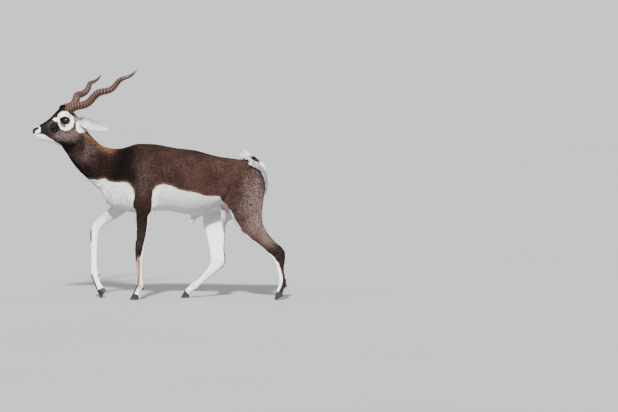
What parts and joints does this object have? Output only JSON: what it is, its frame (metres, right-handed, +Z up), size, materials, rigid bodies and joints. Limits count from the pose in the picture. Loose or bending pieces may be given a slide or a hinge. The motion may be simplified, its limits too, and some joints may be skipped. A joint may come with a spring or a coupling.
{
  "type": "blackbuck",
  "caption": "Life-size adult male blackbuck antelope, walking, with its head raised and turned a little, spiral horns laid back, ears back and tail turned up over the croup.",
  "frame": {"origin": "middle of the model's bounding box seen from above, at floor level", "axes": "+Z up, -X the way the animal walks, -Y its left side"},
  "size_m": [1.2664, 0.4528, 1.1537],
  "materials": {
    "coat_dark": "short flat hair, dark brown above and white below",
    "coat_white": "short white hair",
    "horn": "ringed horn sheath, satin, red-brown with a dark tip",
    "hoof": "black hoof horn, satin",
    "eye": "wet, dark brown"
  },
  "bodies": {
    "root": {"head": "coat_dark", "neck": "coat_dark", "trunk": "coat_dark", "foreleg_left": "coat_dark", "foreleg_right": "coat_dark", "hind_leg_left": "coat_dark", "hind_leg_right": "coat_dark", "tail": "coat_white", "ear_left": "coat_white", "ear_right": "coat_white", "eye_left": "eye", "eye_right": "eye", "horn_left": "horn", "horn_right": "horn", "claw_foreleg_left_inner": "hoof", "claw_foreleg_left_outer": "hoof", "claw_foreleg_right_inner": "hoof", "claw_foreleg_right_outer": "hoof", "claw_hind_leg_left_inner": "hoof", "claw_hind_leg_left_outer": "hoof", "claw_hind_leg_right_inner": "hoof", "claw_hind_leg_right_outer": "hoof", "dewclaw_foreleg_left_inner": "hoof", "dewclaw_foreleg_left_outer": "hoof", "dewclaw_foreleg_right_inner": "hoof", "dewclaw_foreleg_right_outer": "hoof", "dewclaw_hind_leg_left_inner": "hoof", "dewclaw_hind_leg_left_outer": "hoof", "dewclaw_hind_leg_right_inner": "hoof", "dewclaw_hind_leg_right_outer": "hoof"}
  },
  "joints": []
}
